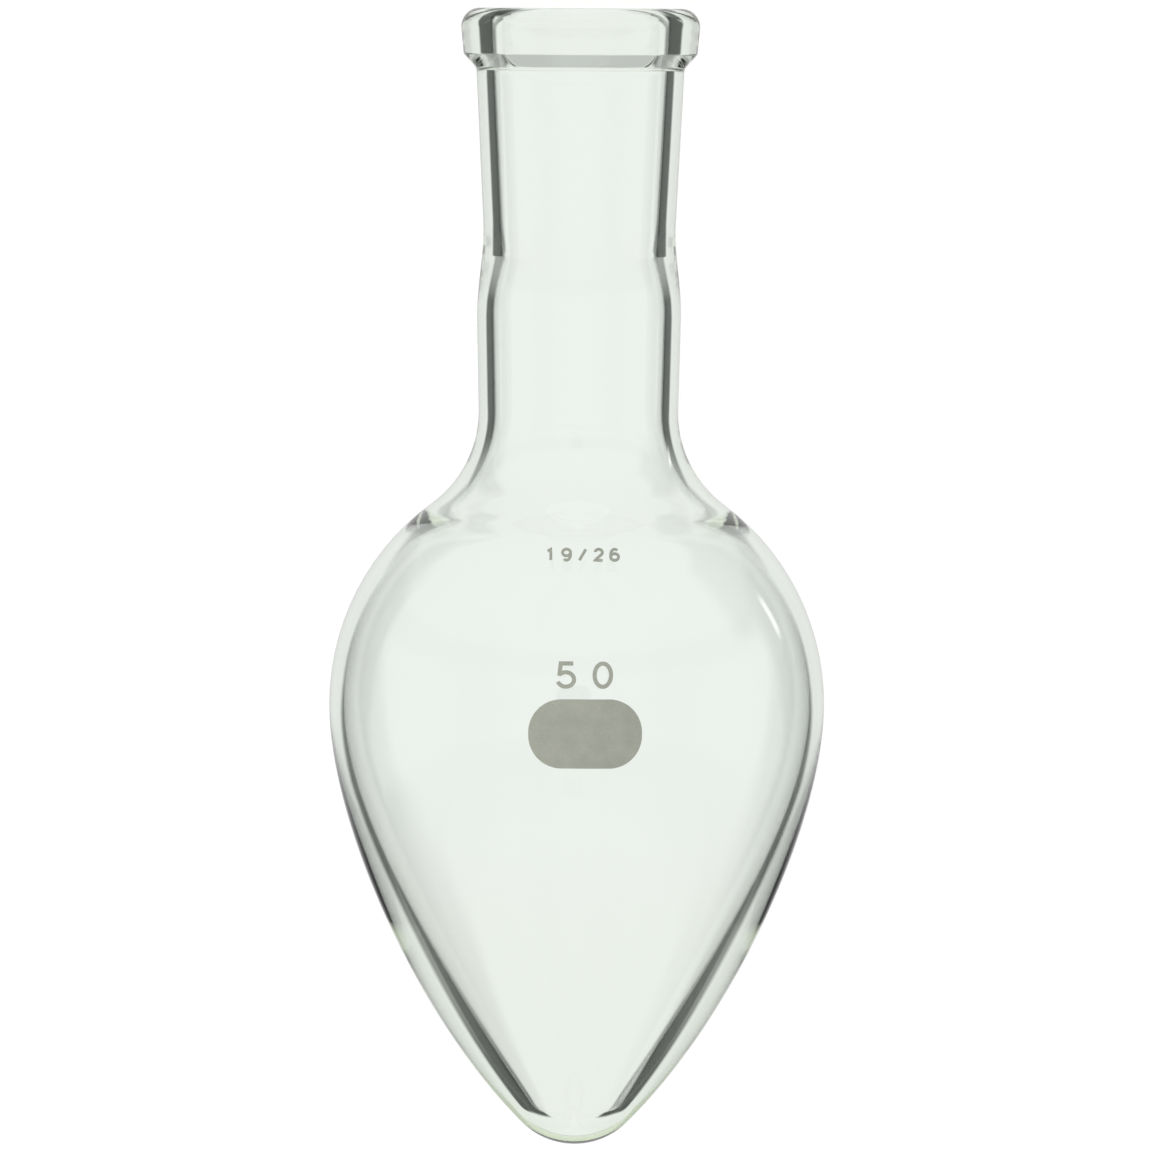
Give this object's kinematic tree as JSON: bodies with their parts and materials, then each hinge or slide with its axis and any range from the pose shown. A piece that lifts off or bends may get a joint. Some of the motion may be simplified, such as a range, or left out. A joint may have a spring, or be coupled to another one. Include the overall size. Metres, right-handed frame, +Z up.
{
  "type": "pear shaped flask",
  "caption": "Small clear glass flask with a round shoulder that tapers to a small round tip, a short neck and a ground conical socket under a thick rim, lying on its side",
  "frame": {"origin": "middle of the bounding box in plan, on the level surface that the flask lies on", "axes": "+Z up, +Y along the flask towards its mouth. The flask's own axis lies in the YZ plane and drops 11 degrees towards the mouth."},
  "size_m": [0.0518, 0.1192, 0.052],
  "materials": {
    "glass": "clear, fire polished",
    "enamel": "fired print, dull"
  },
  "bodies": {
    "root": {"flask": "glass"}
  },
  "joints": []
}
